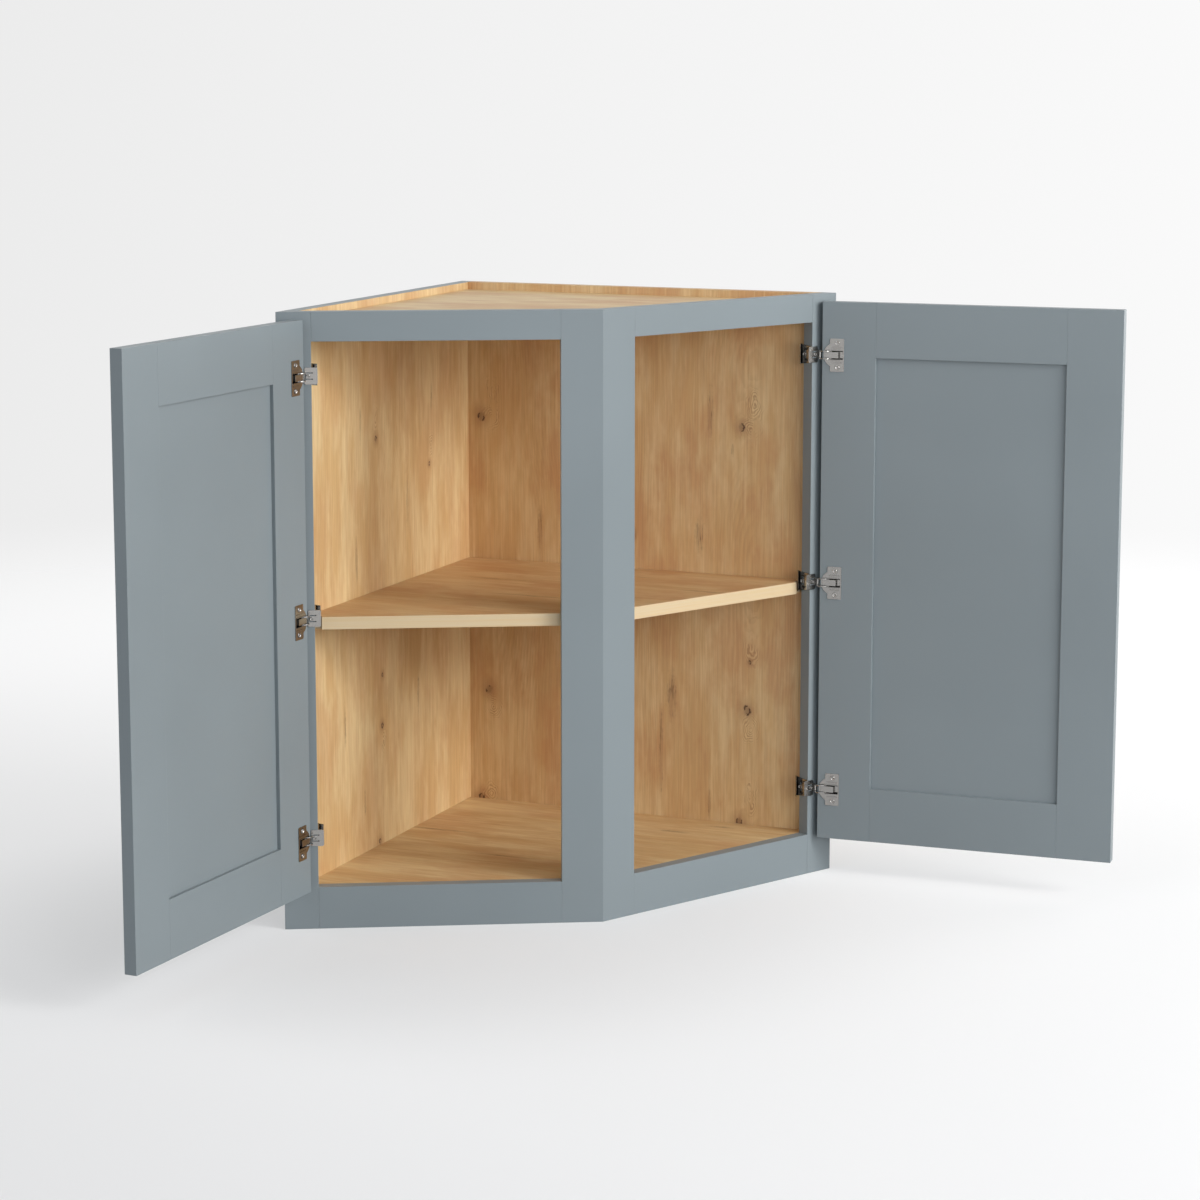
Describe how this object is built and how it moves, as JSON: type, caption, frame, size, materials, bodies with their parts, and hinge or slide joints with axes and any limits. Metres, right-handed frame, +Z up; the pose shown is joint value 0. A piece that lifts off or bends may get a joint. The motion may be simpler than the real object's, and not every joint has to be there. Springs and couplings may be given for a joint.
{
  "type": "base end cabinet",
  "caption": "Angled base end cabinet with two walls at a right angle, a nose between two framed fronts, a hinged panelled door on each front and one shelf.",
  "frame": {"origin": "rear corner on the floor, where the side and the back meet", "axes": "+X along the back, -Y along the side, +Z up"},
  "size_m": [1.0456, 1.0456, 0.8763],
  "materials": {
    "paint": "satin blue-grey lacquer on wood",
    "interior_wood": "clear satin natural maple veneer",
    "side_board": "natural veneer inside, blue-grey lacquer outside",
    "back_board": "natural veneer",
    "raw_wood": "sawn softwood",
    "nickel": "nickel plated steel"
  },
  "bodies": {
    "cabinet": {"back_panel": "back_board", "bottom_panel": "interior_wood", "glue_blocks": "raw_wood", "shelf": "interior_wood", "shelf_pins": "nickel", "side_panel": "side_board", "top_panel": "interior_wood", "left_adjuster_screws": "nickel", "left_arm_pins": "nickel", "left_arm_screws": "nickel", "left_bottom_rail": "paint", "left_lower_hinge_arm": "nickel", "left_middle_hinge_arm": "nickel", "left_nose_stile": "paint", "left_outer_stile": "paint", "left_top_rail": "paint", "left_upper_hinge_arm": "nickel", "right_adjuster_screws": "nickel", "right_arm_pins": "nickel", "right_arm_screws": "nickel", "right_bottom_rail": "paint", "right_lower_hinge_arm": "nickel", "right_middle_hinge_arm": "nickel", "right_nose_stile": "paint", "right_outer_stile": "paint", "right_top_rail": "paint", "right_upper_hinge_arm": "nickel"},
    "left_hinge_links": {"left_lower_hinge_link": "nickel", "left_middle_hinge_link": "nickel", "left_upper_hinge_link": "nickel"},
    "left_door": {"left_cup_pins": "nickel", "left_cup_screws": "nickel", "left_door_bottom_rail": "paint", "left_door_centre_panel": "paint", "left_door_hinge_stile": "paint", "left_door_latch_stile": "paint", "left_door_top_rail": "paint", "left_lower_hinge_cup": "nickel", "left_middle_hinge_cup": "nickel", "left_upper_hinge_cup": "nickel"},
    "right_hinge_links": {"right_lower_hinge_link": "nickel", "right_middle_hinge_link": "nickel", "right_upper_hinge_link": "nickel"},
    "right_door": {"right_cup_pins": "nickel", "right_cup_screws": "nickel", "right_door_bottom_rail": "paint", "right_door_centre_panel": "paint", "right_door_hinge_stile": "paint", "right_door_latch_stile": "paint", "right_door_top_rail": "paint", "right_lower_hinge_cup": "nickel", "right_middle_hinge_cup": "nickel", "right_upper_hinge_cup": "nickel"}
  },
  "joints": [
    {"name": "left_link_pivot", "type": "hinge", "parent": "cabinet", "child": "left_hinge_links", "pos_m": [0.03338, -0.59669, 0.4475], "axis": [0, 0, -1], "range_deg": [0, 66.2]},
    {"name": "left_door_pivot", "type": "hinge", "parent": "left_hinge_links", "child": "left_door", "pos_m": [0.03553, -0.61326, 0.4475], "axis": [0, 0, 1], "range_deg": [0, 186.21]},
    {"name": "right_link_pivot", "type": "hinge", "parent": "cabinet", "child": "right_hinge_links", "pos_m": [0.59669, -0.03338, 0.4475], "axis": [0, 0, 1], "range_deg": [0, 66.2]},
    {"name": "right_door_pivot", "type": "hinge", "parent": "right_hinge_links", "child": "right_door", "pos_m": [0.61326, -0.03553, 0.4475], "axis": [0, 0, -1], "range_deg": [0, 186.21]}
  ],
  "couplings": [
    {"joint": "left_door_pivot", "follows": "left_link_pivot", "ratio": 2.8126},
    {"joint": "right_door_pivot", "follows": "right_link_pivot", "ratio": 2.8126}
  ]
}
